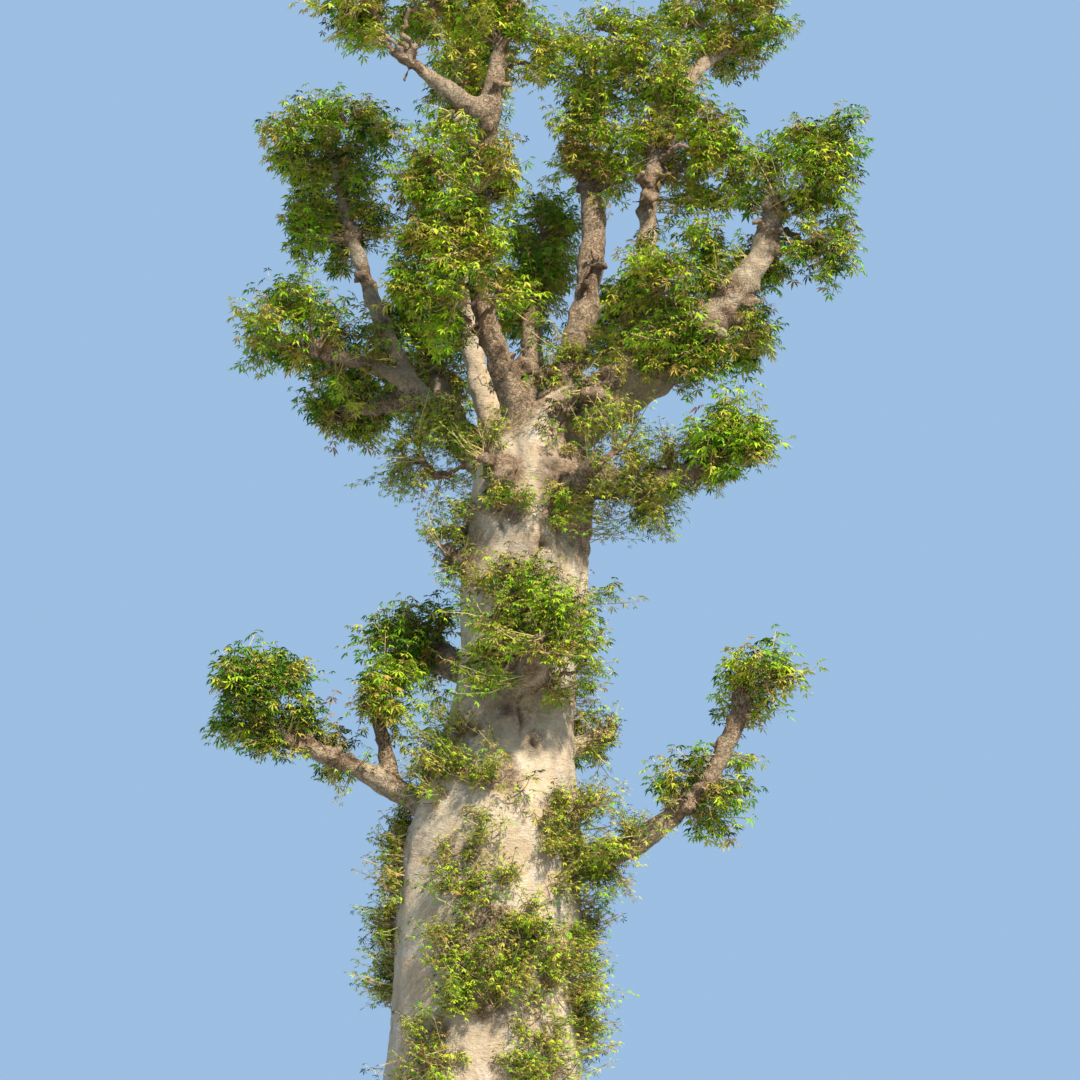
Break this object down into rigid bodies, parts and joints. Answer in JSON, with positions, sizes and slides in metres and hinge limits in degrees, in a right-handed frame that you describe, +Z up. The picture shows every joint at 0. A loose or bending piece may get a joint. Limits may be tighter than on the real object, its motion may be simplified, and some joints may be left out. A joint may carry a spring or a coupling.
{
  "type": "baobab tree",
  "caption": "Pollarded baobab with a thick pale leaning trunk, pruned boughs and dense tufts of young leafy shoots, rooted in the ground",
  "frame": {"origin": "middle of the flat cut under the trunk, at ground level", "axes": "+Z up the trunk, +X to the tree's right as it is seen from the front, +Y to the back"},
  "size_m": [7.4102, 5.0752, 17.9895],
  "materials": {
    "bark": "smooth, matte, folded and scarred",
    "leaves": "leafy, matte"
  },
  "bodies": {
    "root": {"back_bough": "bark", "back_bough_tuft": "leaves", "back_leader": "bark", "back_left_bough": "bark", "back_left_stub": "bark", "back_left_stub_tuft": "leaves", "back_left_tuft": "leaves", "back_right_bough": "bark", "back_right_tuft": "leaves", "big_front_stub": "bark", "big_front_tuft": "leaves", "centre_leader": "bark", "centre_leader_tuft": "leaves", "front_band": "leaves", "front_high_tuft": "leaves", "front_leader": "bark", "front_leader_left_fork": "bark", "front_leader_right_fork": "bark", "front_patch": "leaves", "front_right_stub": "bark", "leader_high_sleeve": "leaves", "leader_low_sleeve": "leaves", "left_bough": "bark", "left_bough_root_mass": "leaves", "left_bough_tuft": "leaves", "left_knob_tuft": "leaves", "left_low_branch": "bark", "left_low_tuft": "leaves", "left_side_branch": "bark", "left_side_tuft": "leaves", "left_strip": "leaves", "low_left_patch": "leaves", "low_right_patch": "leaves", "lower_back_bough": "bark", "lower_back_tuft": "leaves", "lower_left_bough": "bark", "lower_left_branch": "bark", "lower_left_root_mass": "leaves", "lower_left_sleeve": "leaves", "lower_left_tuft": "leaves", "lower_right_bough": "bark", "lower_right_root_mass": "leaves", "lower_right_sleeve": "leaves", "lower_right_tuft": "leaves", "right_bough": "bark", "right_bough_low_tuft": "leaves", "right_bough_sleeve": "leaves", "right_bough_tuft": "leaves", "right_knob_tuft": "leaves", "right_leader": "bark", "right_leader_sleeve": "leaves", "right_leader_tuft": "leaves", "right_middle_bough": "bark", "right_middle_root_mass": "leaves", "right_middle_tuft": "leaves", "right_strip": "leaves", "top_back_tuft": "leaves", "top_centre_tuft": "leaves", "top_left_tuft": "leaves", "trunk": "bark"}
  },
  "joints": []
}
